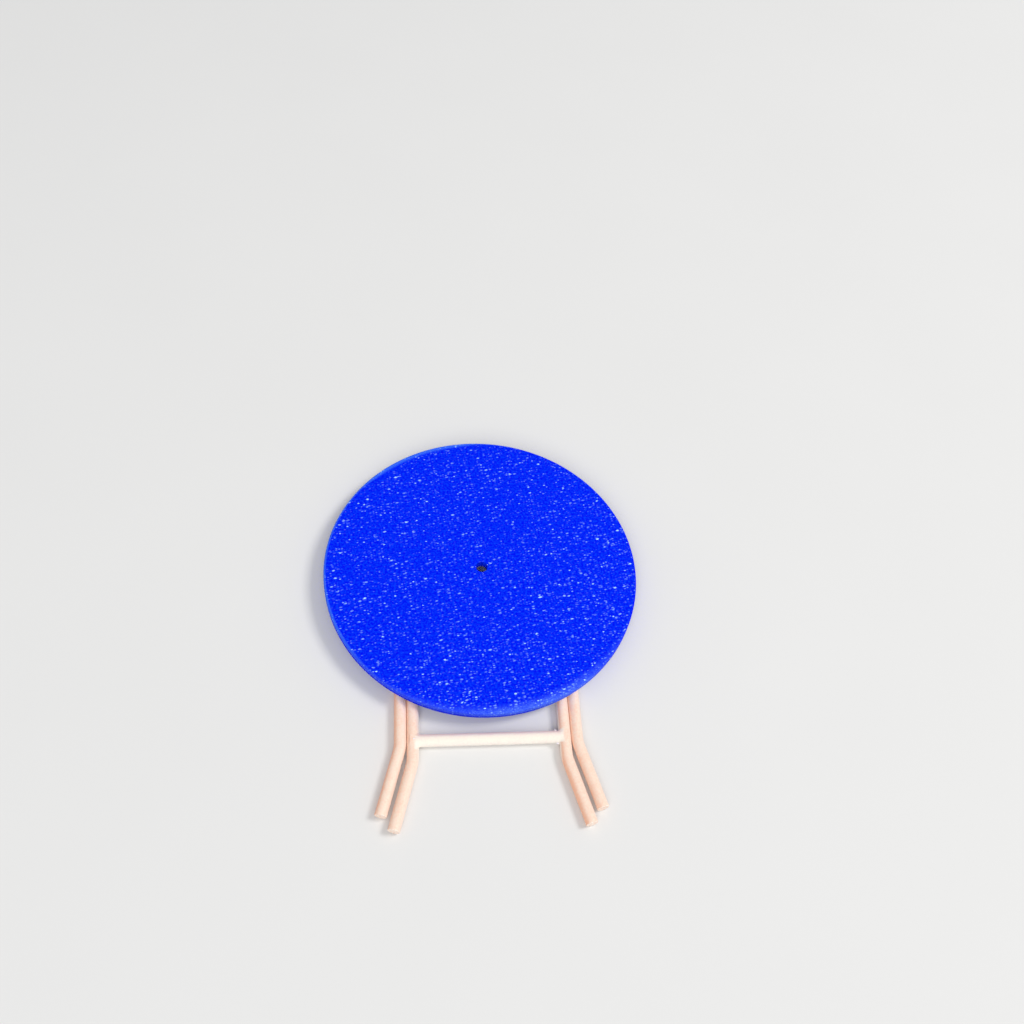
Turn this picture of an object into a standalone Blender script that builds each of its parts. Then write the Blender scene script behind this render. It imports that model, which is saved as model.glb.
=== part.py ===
"""Folding round table, a working miniature, folded flat as it lies in the photograph.

A thin round top lies on two leg frames of round rod.  The outer frame hangs from the
top on two hinge pins.  The inner frame crosses it on one pivot rod, so the legs open as
a scissor, and its top rail drops into two cradles under the top.  Both frames lie side
by side in one plane when the table is folded, with their flared feet past the edge.

Axes: +X across the table, +Y from the feet to the far edge of the top, +Z up.  The
origin is on the ground under the middle of the folded table.  All lengths in metres.
"""
import math

import bmesh
import bpy
from mathutils import Matrix, Vector

# Tabletop
DISC_DIAMETER = 0.0600
DISC_THICKNESS = 0.0018
DISC_EDGE_RADIUS = 0.0002
CENTRE_HOLE_DIAMETER = 0.0022

# Rods of both frames
ROD_DIAMETER = 0.00212
INNER_LEG_SPACING = 0.0268
LEG_PITCH = 0.00222
FLARE_ANGLE = math.radians(15.4)
BEND_RADIUS = 0.0070
FLARED_REACH = 0.0119
FOOT_CHAMFER = 0.0001

# Where the frames hinge and cross, and how far they open
HINGE_SETBACK = 0.0050
HINGE_DEPTH = 0.00125
HINGE_TO_PIVOT = 0.0125
OUTER_FOOT_REACH = 0.0288
FOOT_STAGGER = 0.0026
OUTER_TILT = math.radians(27.0)

# Eyes that carry the pins, at the top of a leg and where the legs cross
EYE_DIAMETER = 0.00220
EYE_WIDTH = 0.00216

# Crossbars of the inner frame
STRETCHER_DIAMETER = 0.0022
STRETCHER_ABOVE_BEND = 0.00365
RAIL_DIAMETER = 0.0016
TENON_DIAMETER = 0.0010
SOCKET_PAST_AXIS = 0.0004

# Hinge pins, pivot rod and its caps
HINGE_PIN_DIAMETER = 0.0010
PIN_END_RECESS = 0.0001
PIN_HEAD_DIAMETER = 0.0018
PIN_HEAD_THICKNESS = 0.0005
PIN_HEAD_CHAMFER = 0.00015
PIVOT_ROD_DIAMETER = 0.0010
CAP_DIAMETER = 0.0019
CAP_THICKNESS = 0.0009
CAP_CROWN = 0.0003
CAP_EDGE_RADIUS = 0.0002

# Hinge lugs and rail cradles under the top
LUG_WIDTH = 0.0022
LUG_LENGTH = 0.0052
CRADLE_WIDTH = 0.0040
CRADLE_SPACING = 0.0160
CRADLE_FAR_WALL = 0.0012
CRADLE_NEAR_WALL = 0.0006
CRADLE_LEAD_IN = math.radians(45.0)
POCKET_DEPTH = 0.0006
BLOCK_EDGE_BREAK = 0.00012

# Clearances: fixed seats, pieces that turn, and faces that slide past each other
SEAT_CLEARANCE = 0.00005
RUNNING_CLEARANCE = 0.0001
SIDE_CLEARANCE = 0.0001
CUT_OVERRUN = 0.0010

# How finely round shapes are divided
DISC_SIDES = 192
ROD_SIDES = 24
EYE_SIDES = 32
BORE_SIDES = 24
ARC_STEPS = 8
EDGE_STEPS = 3
SMOOTH_ANGLE = math.radians(30.0)

# Worked out from the sizes above
disc_radius = DISC_DIAMETER / 2
rod_radius = ROD_DIAMETER / 2
eye_radius = EYE_DIAMETER / 2
hinge_bore_radius = HINGE_PIN_DIAMETER / 2 + RUNNING_CLEARANCE
pin_seat_radius = HINGE_PIN_DIAMETER / 2 + SEAT_CLEARANCE
pivot_bore_radius = PIVOT_ROD_DIAMETER / 2 + RUNNING_CLEARANCE
rod_seat_radius = PIVOT_ROD_DIAMETER / 2 + SEAT_CLEARANCE
tenon_seat_radius = TENON_DIAMETER / 2 + SEAT_CLEARANCE
cradle_radius = RAIL_DIAMETER / 2 + RUNNING_CLEARANCE

inner_foot_reach = OUTER_FOOT_REACH + FOOT_STAGGER
inner_leg_x = INNER_LEG_SPACING / 2
outer_leg_x = inner_leg_x + LEG_PITCH
lug_inner_x = outer_leg_x + EYE_WIDTH / 2 + SIDE_CLEARANCE

axis_height = eye_radius
underside_z = axis_height + HINGE_DEPTH

foot_corner = (rod_radius - FOOT_CHAMFER) * math.sin(FLARE_ANGLE)
folded_reach = HINGE_SETBACK + HINGE_TO_PIVOT + inner_foot_reach + foot_corner
disc_centre_y = (folded_reach - disc_radius) / 2
hinge_y = disc_centre_y - HINGE_SETBACK


def inner_tilt_when_open():
    """Tilt of the inner legs at which all four feet stand on one level floor."""
    cos_flare = math.cos(FLARE_ANGLE)
    cos_outer = math.cos(OUTER_TILT)
    outer_drop = OUTER_FOOT_REACH * cos_outer + rod_radius * math.sqrt(1 - (cos_flare * cos_outer) ** 2)
    reach = inner_foot_reach / cos_flare
    psi = math.atan2(rod_radius, reach) + math.acos(outer_drop / math.hypot(reach, rod_radius))
    return math.acos(math.cos(psi) / cos_flare)


inner_tilt = inner_tilt_when_open()
pivot_to_rail = HINGE_TO_PIVOT * math.cos(OUTER_TILT) / math.cos(inner_tilt)
rail_to_hinge = HINGE_TO_PIVOT * math.sin(OUTER_TILT) + pivot_to_rail * math.sin(inner_tilt)
outer_open_angle = math.pi / 2 + OUTER_TILT
inner_open_angle = math.pi / 2 - inner_tilt


def plastic(name, colour, roughness, metallic=0.0):
    """A plain Principled material."""
    material = bpy.data.materials.new(name)
    material.use_nodes = True
    shader = material.node_tree.nodes["Principled BSDF"]
    shader.inputs["Base Color"].default_value = (*colour, 1.0)
    shader.inputs["Roughness"].default_value = roughness
    shader.inputs["Metallic"].default_value = metallic
    material.diffuse_color = (*colour, 1.0)
    return material


def add_object(name, bm, material, parent, place=(0, 0, 0)):
    """Turn a bmesh into a smooth shaded object with its origin at place."""
    bmesh.ops.recalc_face_normals(bm, faces=bm.faces)
    mesh = bpy.data.meshes.new(name)
    bm.to_mesh(mesh)
    bm.free()
    mesh.shade_smooth()
    mesh.set_sharp_from_angle(angle=SMOOTH_ANGLE)
    thing = bpy.data.objects.new(name, mesh)
    bpy.context.scene.collection.objects.link(thing)
    if material:
        mesh.materials.append(material)
    thing.parent = parent
    thing.location = place
    return thing


def add_empty(name, parent, place):
    """An empty on a joint's axis, which carries the pieces of one frame."""
    empty = bpy.data.objects.new(name, None)
    bpy.context.scene.collection.objects.link(empty)
    empty.parent = parent
    empty.location = place
    return empty


def shape_with(thing, operation, bm):
    """Unite a piece with a guide shape, or cut it away; the guide stays hidden."""
    guide = add_object(f"{thing.name}_{operation.lower()}", bm, None, thing.parent, thing.location)
    guide.hide_render = True
    guide.display_type = 'WIRE'
    modifier = thing.modifiers.new(operation.title(), 'BOOLEAN')
    modifier.operation = operation
    modifier.solver = 'EXACT'
    modifier.object = guide


def turned(outline, sides, axis, closed=False):
    """Spin an outline of (distance from the axis, place along it) points about X or Z."""
    bm = bmesh.new()
    if axis == 'X':
        points = [bm.verts.new((along, 0, out)) for out, along in outline]
        spin_axis = (1, 0, 0)
    else:
        points = [bm.verts.new((out, 0, along)) for out, along in outline]
        spin_axis = (0, 0, 1)
    edges = [bm.edges.new(pair) for pair in zip(points, points[1:])]
    if closed:
        edges.append(bm.edges.new((points[-1], points[0])))
    bmesh.ops.spin(bm, geom=points + edges, cent=(0, 0, 0), axis=spin_axis, angle=math.tau,
                   steps=sides, use_merge=True)
    ends = [edge for edge in bm.edges if edge.is_boundary]
    if ends:
        bmesh.ops.holes_fill(bm, edges=ends, sides=0)
    return bm


def crosswise_cylinders(items, sides):
    """Solid cylinders along X, each given as (y, radius, lowest x, highest x)."""
    bm = bmesh.new()
    for y, radius, low, high in items:
        place = Matrix.Translation(((low + high) / 2, y, 0)) @ Matrix.Rotation(math.pi / 2, 4, 'Y')
        bmesh.ops.create_cone(bm, cap_ends=True, segments=sides, radius1=radius, radius2=radius,
                              depth=high - low, matrix=place)
    return bm


def prism(outline, low, high):
    """An outline of (y, z) points extruded along X from low to high."""
    bm = bmesh.new()
    face = bm.faces.new([bm.verts.new((low, y, z)) for y, z in outline])
    grown = bmesh.ops.extrude_face_region(bm, geom=[face])
    moved = [item for item in grown["geom"] if isinstance(item, bmesh.types.BMVert)]
    bmesh.ops.translate(bm, verts=moved, vec=(high - low, 0, 0))
    return bm


def box(low, high):
    """A box between two corners."""
    bm = bmesh.new()
    size = Vector(high) - Vector(low)
    middle = (Vector(high) + Vector(low)) / 2
    bmesh.ops.create_cube(bm, size=1, matrix=Matrix.Translation(middle) @ Matrix.Diagonal((*size, 1)))
    return bm


def break_edges(thing):
    """Take the sharpness off a block's edges with a narrow chamfer."""
    modifier = thing.modifiers.new("Edges", 'BEVEL')
    modifier.width = BLOCK_EDGE_BREAK
    modifier.segments = 1
    modifier.limit_method = 'ANGLE'
    modifier.angle_limit = SMOOTH_ANGLE


def arc(centre, radius, start, end, steps):
    """Points on an arc in (y, z), angles from +Y towards +Z."""
    angles = [start + (end - start) * step / steps for step in range(steps + 1)]
    return [(centre[0] + radius * math.cos(a), centre[1] + radius * math.sin(a)) for a in angles]


def bent_rod(top_y, foot_y, side):
    """A round rod along -Y that bends outwards near its foot, cut square to its own axis."""
    tangent = BEND_RADIUS * math.tan(FLARE_ANGLE / 2)
    bend_y = foot_y + FLARED_REACH
    stations = [((0, top_y), 0, rod_radius)]
    for step in range(ARC_STEPS + 1):
        turn = FLARE_ANGLE * step / ARC_STEPS
        across = BEND_RADIUS * (1 - math.cos(turn))
        along = bend_y + tangent - BEND_RADIUS * math.sin(turn)
        stations.append(((across, along), turn, rod_radius))
    foot = Vector((FLARED_REACH * math.tan(FLARE_ANGLE), foot_y))
    down = Vector((math.sin(FLARE_ANGLE), -math.cos(FLARE_ANGLE)))
    stations.append((foot - down * FOOT_CHAMFER, FLARE_ANGLE, rod_radius))
    stations.append((foot, FLARE_ANGLE, rod_radius - FOOT_CHAMFER))

    bm = bmesh.new()
    rings = []
    for (across, along), turn, radius in stations:
        place = (Matrix.Translation((side * across, along, 0)) @ Matrix.Rotation(side * turn, 4, 'Z')
                 @ Matrix.Rotation(math.pi / 2, 4, 'X'))
        ring = bmesh.ops.create_circle(bm, segments=ROD_SIDES, radius=radius, matrix=place)
        rings.append(ring["verts"])
    for ring, following in zip(rings, rings[1:]):
        for index in range(ROD_SIDES):
            after = (index + 1) % ROD_SIDES
            bm.faces.new((ring[index], ring[after], following[after], following[index]))
    bm.faces.new(rings[0])
    bm.faces.new(rings[-1])
    return bm


def leg(name, parent, x, top_y, pivot_y, foot_y, bores, material):
    """One leg: the bent rod, an eye at its top, an eye where the frames cross, and its bores."""
    side = math.copysign(1, x)
    thing = add_object(name, bent_rod(top_y, foot_y, side), material, parent, (x, 0, 0))
    half = EYE_WIDTH / 2
    eyes = [(y, eye_radius, -half, half) for y in (top_y, pivot_y)]
    shape_with(thing, 'UNION', crosswise_cylinders(eyes, EYE_SIDES))
    cuts = [(y, radius, *sorted((-side * (half + CUT_OVERRUN), side * outer_end)))
            for y, radius, outer_end in bores]
    shape_with(thing, 'DIFFERENCE', crosswise_cylinders(cuts, BORE_SIDES))
    return thing


def tabletop(material):
    """The round top with its centre hole, and pockets under it for the lugs and cradles."""
    rim = DISC_EDGE_RADIUS
    hole = CENTRE_HOLE_DIAMETER / 2
    inner = disc_radius - rim
    outline = [(hole, 0)] + arc((inner, rim), rim, -math.pi / 2, 0, EDGE_STEPS)
    outline += arc((inner, DISC_THICKNESS - rim), rim, 0, math.pi / 2, EDGE_STEPS) + [(hole, DISC_THICKNESS)]
    top = add_object("tabletop", turned(outline, DISC_SIDES, 'Z', closed=True), material, None,
                     (0, disc_centre_y, underside_z))
    pockets = bmesh.new()
    for low_x, high_x, low_y, high_y in seats():
        grow = SEAT_CLEARANCE
        low = (low_x - grow, low_y - grow, -CUT_OVERRUN)
        high = (high_x + grow, high_y + grow, POCKET_DEPTH)
        pocket = box(low, high)
        mesh = bpy.data.meshes.new("pocket")
        pocket.to_mesh(mesh)
        pocket.free()
        pockets.from_mesh(mesh)
        bpy.data.meshes.remove(mesh)
    shape_with(top, 'DIFFERENCE', pockets)
    return top


def seats():
    """Where lugs and cradles enter the underside: x and y limits from the disc's centre."""
    places = []
    rail_y = rail_to_hinge - HINGE_SETBACK
    for side in (-1, 1):
        lug = sorted((side * lug_inner_x, side * (lug_inner_x + LUG_WIDTH)))
        places.append((*lug, -HINGE_SETBACK - LUG_LENGTH / 2, -HINGE_SETBACK + LUG_LENGTH / 2))
        middle = side * CRADLE_SPACING / 2
        places.append((middle - CRADLE_WIDTH / 2, middle + CRADLE_WIDTH / 2,
                       rail_y - cradle_radius - CRADLE_NEAR_WALL, rail_y + cradle_radius + CRADLE_FAR_WALL))
    return places


def hinge_lug(name, side, parent, material):
    """A bearing block let into the underside, with a round nose about the hinge axis."""
    top = HINGE_DEPTH + POCKET_DEPTH - SEAT_CLEARANCE
    half = LUG_LENGTH / 2
    shoulder = HINGE_DEPTH - SEAT_CLEARANCE
    away = math.hypot(half, shoulder)
    lean = math.atan2(shoulder, half) - math.acos(eye_radius / away)
    nose = arc((0, 0), eye_radius, lean, -math.pi - lean, 2 * ARC_STEPS)
    outline = [(-half, top), (half, top), (half, shoulder)] + nose + [(-half, shoulder)]
    low, high = sorted((side * lug_inner_x, side * (lug_inner_x + LUG_WIDTH)))
    thing = add_object(name, prism(outline, low, high), material, parent)
    break_edges(thing)
    bore = [(0, pin_seat_radius, low - CUT_OVERRUN, high + CUT_OVERRUN)]
    shape_with(thing, 'DIFFERENCE', crosswise_cylinders(bore, BORE_SIDES))
    return thing


def hinge_pin(name, side, parent, material):
    """A headed pin, held by the lug, on which the eye of an outer leg turns."""
    shank = HINGE_PIN_DIAMETER / 2
    head = PIN_HEAD_DIAMETER / 2
    end = outer_leg_x - EYE_WIDTH / 2 + PIN_END_RECESS
    seat = lug_inner_x + LUG_WIDTH + SEAT_CLEARANCE
    crown = seat + PIN_HEAD_THICKNESS
    outline = [(shank, end), (shank, seat), (head, seat), (head, crown - PIN_HEAD_CHAMFER),
               (head - PIN_HEAD_CHAMFER, crown)]
    outline = [(out, side * along) for out, along in outline]
    return add_object(name, turned(outline, BORE_SIDES, 'X'), material, parent)


def rail_cradle(name, side, parent, material):
    """A catch for the inner frame's rail: a round seat, open towards the rail's way in."""
    top = HINGE_DEPTH + POCKET_DEPTH - SEAT_CLEARANCE
    share = inner_open_angle / outer_open_angle
    rise = pivot_to_rail * share * math.cos(inner_open_angle) - HINGE_TO_PIVOT * math.cos(outer_open_angle)
    run = HINGE_TO_PIVOT * math.sin(outer_open_angle) - pivot_to_rail * share * math.sin(inner_open_angle)
    approach = math.atan2(rise, run)
    seat = arc((0, 0), cradle_radius, approach - math.pi / 2, approach + math.pi / 2, 2 * ARC_STEPS)
    entry_y, entry_z = seat[0]
    lip_y, lip_z = seat[-1]
    far_y = cradle_radius + CRADLE_FAR_WALL
    near_y = -cradle_radius - CRADLE_NEAR_WALL
    mouth_y = entry_y - (axis_height + entry_z) / math.tan(approach)
    near_z = lip_z - (lip_y - near_y) * math.tan(CRADLE_LEAD_IN)
    outline = [(near_y, top), (far_y, top), (far_y, -axis_height), (mouth_y, -axis_height)]
    outline += seat + [(near_y, near_z)]
    middle = side * CRADLE_SPACING / 2
    solid = prism(outline, middle - CRADLE_WIDTH / 2, middle + CRADLE_WIDTH / 2)
    thing = add_object(name, solid, material, parent, (0, rail_to_hinge, 0))
    break_edges(thing)
    return thing


def pivot_rod(parent, material):
    """The long rod through all four legs."""
    half = outer_leg_x + EYE_WIDTH / 2 + SIDE_CLEARANCE + CAP_THICKNESS - CAP_CROWN - SEAT_CLEARANCE
    radius = PIVOT_ROD_DIAMETER / 2
    return add_object("pivot_rod", turned([(radius, -half), (radius, half)], BORE_SIDES, 'X'),
                      material, parent)


def pivot_cap(name, side, parent, material):
    """A cap pressed on the end of the pivot rod, with a blind bore and a rounded edge."""
    start = outer_leg_x + EYE_WIDTH / 2 + SIDE_CLEARANCE
    crown = start + CAP_THICKNESS
    radius = CAP_DIAMETER / 2
    edge = [(radius - CAP_EDGE_RADIUS + out, along) for out, along in
            arc((0, crown - CAP_EDGE_RADIUS), CAP_EDGE_RADIUS, 0, math.pi / 2, EDGE_STEPS)]
    outline = [(rod_seat_radius, crown - CAP_CROWN), (rod_seat_radius, start), (radius, start)] + edge
    outline = [(out, side * along) for out, along in outline]
    return add_object(name, turned(outline, BORE_SIDES, 'X'), material, parent)


def inner_stretcher(parent, material):
    """The lower crossbar, coped to the round legs, with a tenon into each."""
    y = STRETCHER_ABOVE_BEND + FLARED_REACH - inner_foot_reach
    cope_radius = rod_radius + SEAT_CLEARANCE
    bar = crosswise_cylinders([(0, STRETCHER_DIAMETER / 2, -inner_leg_x, inner_leg_x)], ROD_SIDES)
    thing = add_object("inner_stretcher", bar, material, parent, (0, y, 0))
    copes = bmesh.new()
    for side in (-1, 1):
        place = Matrix.Translation((side * inner_leg_x, 0, 0)) @ Matrix.Rotation(math.pi / 2, 4, 'X')
        bmesh.ops.create_cone(copes, cap_ends=True, segments=EYE_SIDES, radius1=cope_radius,
                              radius2=cope_radius, depth=2 * STRETCHER_DIAMETER, matrix=place)
    shape_with(thing, 'DIFFERENCE', copes)
    reach = inner_leg_x + SOCKET_PAST_AXIS - SEAT_CLEARANCE
    shape_with(thing, 'UNION', crosswise_cylinders([(0, TENON_DIAMETER / 2, -reach, reach)], BORE_SIDES))
    return thing


def inner_top_rail(parent, material):
    """The upper crossbar of the inner frame, shouldered between the eyes of its legs."""
    shoulder = inner_leg_x - EYE_WIDTH / 2 - SEAT_CLEARANCE
    end = inner_leg_x + EYE_WIDTH / 2 - PIN_END_RECESS
    rail = RAIL_DIAMETER / 2
    tenon = TENON_DIAMETER / 2
    outline = [(tenon, -end), (tenon, -shoulder), (rail, -shoulder),
               (rail, shoulder), (tenon, shoulder), (tenon, end)]
    return add_object("inner_top_rail", turned(outline, BORE_SIDES, 'X'), material, parent,
                      (0, pivot_to_rail, 0))


def build():
    """The whole table, folded."""
    for thing in list(bpy.data.objects):
        bpy.data.objects.remove(thing, do_unlink=True)
    blue = plastic("blue_plastic", (0.006, 0.031, 0.93), 0.42)
    peach = plastic("peach_plastic", (0.94, 0.76, 0.60), 0.55)
    steel = plastic("steel", (0.55, 0.55, 0.56), 0.35, 1.0)

    hinge = add_empty("hinge_axis", None, (0, hinge_y, axis_height))
    pivot = add_empty("pivot_axis", hinge, (0, -HINGE_TO_PIVOT, 0))
    tabletop(blue)
    through = EYE_WIDTH / 2 + CUT_OVERRUN
    outer_foot = -HINGE_TO_PIVOT - OUTER_FOOT_REACH
    socket_y = STRETCHER_ABOVE_BEND + FLARED_REACH - inner_foot_reach
    for word, side in (("left", -1), ("right", 1)):
        hinge_lug(f"hinge_lug_{word}", side, hinge, blue)
        hinge_pin(f"hinge_pin_{word}", side, hinge, steel)
        rail_cradle(f"rail_cradle_{word}", side, hinge, blue)
        leg(f"outer_leg_{word}", hinge, side * outer_leg_x, 0, -HINGE_TO_PIVOT, outer_foot,
            [(0, hinge_bore_radius, through), (-HINGE_TO_PIVOT, rod_seat_radius, through)], peach)
        leg(f"inner_leg_{word}", pivot, side * inner_leg_x, pivot_to_rail, 0, -inner_foot_reach,
            [(pivot_to_rail, tenon_seat_radius, through), (0, pivot_bore_radius, through),
             (socket_y, tenon_seat_radius, SOCKET_PAST_AXIS)], peach)
        pivot_cap(f"pivot_cap_{word}", side, pivot, peach)
    pivot_rod(pivot, steel)
    inner_stretcher(pivot, peach)
    inner_top_rail(pivot, peach)


build()
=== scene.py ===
import math
from functools import partial, reduce

import bmesh
import bpy
import numpy as np
from mathutils import Matrix, Vector


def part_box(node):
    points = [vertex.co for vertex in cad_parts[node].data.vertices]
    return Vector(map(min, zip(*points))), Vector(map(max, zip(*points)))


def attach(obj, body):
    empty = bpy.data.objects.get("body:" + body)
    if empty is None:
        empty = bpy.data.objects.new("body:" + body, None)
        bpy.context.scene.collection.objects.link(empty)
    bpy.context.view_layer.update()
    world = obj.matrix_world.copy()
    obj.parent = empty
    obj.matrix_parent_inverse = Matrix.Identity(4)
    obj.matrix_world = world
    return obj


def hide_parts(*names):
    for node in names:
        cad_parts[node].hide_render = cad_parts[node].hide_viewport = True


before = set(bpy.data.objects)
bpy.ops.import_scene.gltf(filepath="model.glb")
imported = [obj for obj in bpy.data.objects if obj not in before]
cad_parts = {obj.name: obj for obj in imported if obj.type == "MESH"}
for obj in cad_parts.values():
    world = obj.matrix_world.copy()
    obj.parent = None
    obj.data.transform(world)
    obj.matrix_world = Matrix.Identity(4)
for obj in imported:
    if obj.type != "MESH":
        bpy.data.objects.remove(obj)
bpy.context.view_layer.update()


def middle(node):
    """The middle of a node's box."""
    low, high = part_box(node)
    return (low + high) / 2


# Places and sizes that the frame gives, in metres
disc_low, disc_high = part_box("tabletop")
DISC_RADIUS = disc_high.x
DISC_CENTRE_Y = middle("tabletop").y
UNDERSIDE_Z = disc_low.z
TOP_Z = disc_high.z
DISC_THICKNESS = TOP_Z - UNDERSIDE_Z
AXIS_HEIGHT = middle("pivot_rod").z
HINGE_Y = middle("hinge_pin_left").y
PIVOT_Y = middle("pivot_rod").y
RAIL_Y = middle("inner_top_rail").y
STRETCHER_Y = middle("inner_stretcher").y
SEATED_BLOCKS = ("hinge_lug_left", "hinge_lug_right", "rail_cradle_left", "rail_cradle_right")

# Driving sizes, in metres, that match the part's own source
CENTRE_HOLE_RADIUS = 0.0011
ROD_RADIUS = 0.00106
INNER_LEG_SPACING = 0.0268
LEG_PITCH = 0.00222
FLARE = math.radians(15.4)
BEND_RADIUS = 0.0070
FLARED_REACH = 0.0119
OUTER_FOOT_REACH = 0.0288
FOOT_STAGGER = 0.0026
EYE_RADIUS = 0.0011
EYE_WIDTH = 0.00216
STRETCHER_RADIUS = 0.0011
TENON_RADIUS = 0.0005
PIN_RADIUS = 0.0005
PIN_HEAD_THICKNESS = 0.0005
CAP_CROWN = 0.0003
POCKET_DEPTH = 0.0006
SEAT_CLEARANCE = 0.00005
RUNNING_CLEARANCE = 0.0001
CUT_OVERRUN = 0.0010

# What follows from them
INNER_LEG_X = INNER_LEG_SPACING / 2
OUTER_LEG_X = INNER_LEG_X + LEG_PITCH
OUTER_FOOT_Y = PIVOT_Y - OUTER_FOOT_REACH
INNER_FOOT_Y = OUTER_FOOT_Y - FOOT_STAGGER
FOOT_OUTWARD = FLARED_REACH * math.tan(FLARE)
RUNNING_BORE = PIN_RADIUS + RUNNING_CLEARANCE
SEAT_BORE = PIN_RADIUS + SEAT_CLEARANCE

# The finer shape of the pieces: edges, layers and what the making left behind
LOWER_EDGE_RADIUS = 0.00020
UPPER_EDGE_RADIUS = 0.00040
HOLE_EDGE_BREAK = 0.00012
EDGE_BREAK = 0.00008
EYE_EDGE = 0.00012
FOOT_ROUND = 0.00012
BURR_HEIGHT = 0.00005
LAYER_HEIGHT = 0.0002
LAYER_RELIEF = 0.000012
LINE_WIDTH = 0.00042
BAR_SWELL = 0.000007
BAR_WAVE_LENGTHS = (0.0021, 0.0053)
BAR_END_INSET = 0.0003
FLANK_SWELL = 0.000036
WELD_SINK = 0.000020
WELD_SPREAD = 0.00045
WELD_OVERLAP = 0.0004
WELD_LENGTH = 0.0029
WELD_BOX = (0.0032, 0.0032, 0.0013)
WELD_STEP = 0.0001
NUB_RADIUS = 0.00018

# The nubs at the lower crossbar's joints, small lumps whose pale plastic is also a painted highlight: name,
# side, and place from where bar and leg meet
NUBS = (("far", 1, (-0.00168, 0.00112, 0.00030)),
        ("near", 1, (-0.00142, -0.00130, 0.00030)),
        ("left", -1, (0.00015, 0.00005, 0.00092)))

# How finely the round pieces are divided, and how the top's upper edge shares its two finishes
DISC_SIDES = 288
DISC_RINGS = 14
LOWER_EDGE_STEPS = 5
UPPER_EDGE_STEPS = 8
UPPER_EDGE_RIM_POINTS = 5
LAYER_STEPS = 6
BREAK_STEPS = 4
END_STEPS = 5
LEG_SIDES = 48
LEG_STRAIGHT_STEPS = 24
LEG_BEND_STEPS = 28
LEG_FLARED_STEPS = 12
FOOT_STEPS = 5
EYE_SIDES = 64
BORE_SIDES = 40
TURNED_SIDES = 64
BAR_STEPS = 96
DOME_STEPS = 8
SURFACE_SLIDES = 6
SHARP_ANGLE = math.radians(35)

# Sides of the top, as angles about its middle from +X towards +Y
# Where the painted hazy highlight on the edge is strongest, and where it takes in the rim's whole height
HAZE_HIGHLIGHT_SIDE = math.radians(-73)
WHOLE_RIM_HIGHLIGHT_SIDE = HAZE_HIGHLIGHT_SIDE + 0.30
NEAR_SIDE = math.radians(-90)
# Where the painted glints on the top are thickest
DENSE_GLINT_SIDE = math.radians(-65)
# Where the painted highlight on the top's upper lip is strongest, and where it is widest
LIP_HIGHLIGHT_SIDE = math.radians(150)
WIDE_LIP_HIGHLIGHT_SIDE = math.radians(115)

# Depths of the relief in the finishes, in metres
PEBBLE_DEPTH = 0.000010
RIM_DEPTH = 0.000008
HOLLOW_DEPTH = 0.000010
LAID_LINE_DEPTH = 0.000018
BLOCK_DEPTH = 0.000012
SOFT_DEPTH = 0.000008
NUB_DEPTH = 0.000010
STEEL_DEPTH = 0.000004

# Colours, linear red, green and blue
BLUE = (0.0000, 0.0040, 0.90)
BLUE_HAZE = (0.0018, 0.0480, 0.99)
# Painted shade, low down on the rim
BLUE_LOW_SHADE = (0.0000, 0.0070, 0.72)
# Painted shade inside the centre hole
BLUE_HOLLOW_SHADE = (0.0, 0.008, 0.75)
BLUE_SEAM = (0.001, 0.010, 0.70)
BLUE_LAYER_SEAM = (0.001, 0.010, 0.62)
# Painted glints: the pale flecks on the blue
BLUE_GLINT_PAINT = (0.57, 0.97, 1.0)
# Painted hazy highlight on the top's edge
BLUE_HIGHLIGHT_HAZE = (0.066, 0.155, 0.985)
# Painted highlight on the upper lip
BLUE_LIP_HIGHLIGHT = (0.036, 0.140, 0.97)
PEACH = (0.975, 0.755, 0.618)
# Painted shade on the legs' -X flanks, also the deeper tone of their random cloud; painted light on their +X
# flanks
PEACH_SHADE_AND_MOTTLE = (0.985, 0.525, 0.350)
PEACH_LIT_FLANK = (0.965, 0.760, 0.650)
PEACH_PALE = (0.985, 0.900, 0.810)
# Painted highlight on the crossbar, paler on its near side; painted shade, pinker, on its far side
CREAM_HIGHLIGHT = (0.980, 0.892, 0.778)
CREAM_NEAR_HIGHLIGHT = (0.985, 0.940, 0.850)
CREAM_FAR_SHADE = (0.985, 0.760, 0.710)
# Pale nubs: whitened plastic, also a painted highlight
NUB_DULL = (0.90, 0.84, 0.93)
NUB_PALE = (0.97, 0.93, 0.98)
STEEL_DARK = (0.50, 0.50, 0.51)
STEEL_LIGHT = (0.66, 0.66, 0.67)
STEEL_STREAK = (0.36, 0.36, 0.38)
FLOOR_LOW = (0.79, 0.79, 0.785)
FLOOR_HIGH = (0.81, 0.81, 0.805)
BACKGROUND = (0.84, 0.84, 0.835)

# What every painted glint loses, so that the faintest vanish, and the most that one covers its ground
FAINTEST_PAINTED_GLINT = 0.029
STRONGEST_PAINTED_GLINT = 0.9

# Where the ground starts and ends its fade into the background, in metres from the middle
FLOOR_FADE = (0.25, 1.10)

MILLIMETRES = 1000.0


# Material graphs

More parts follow.
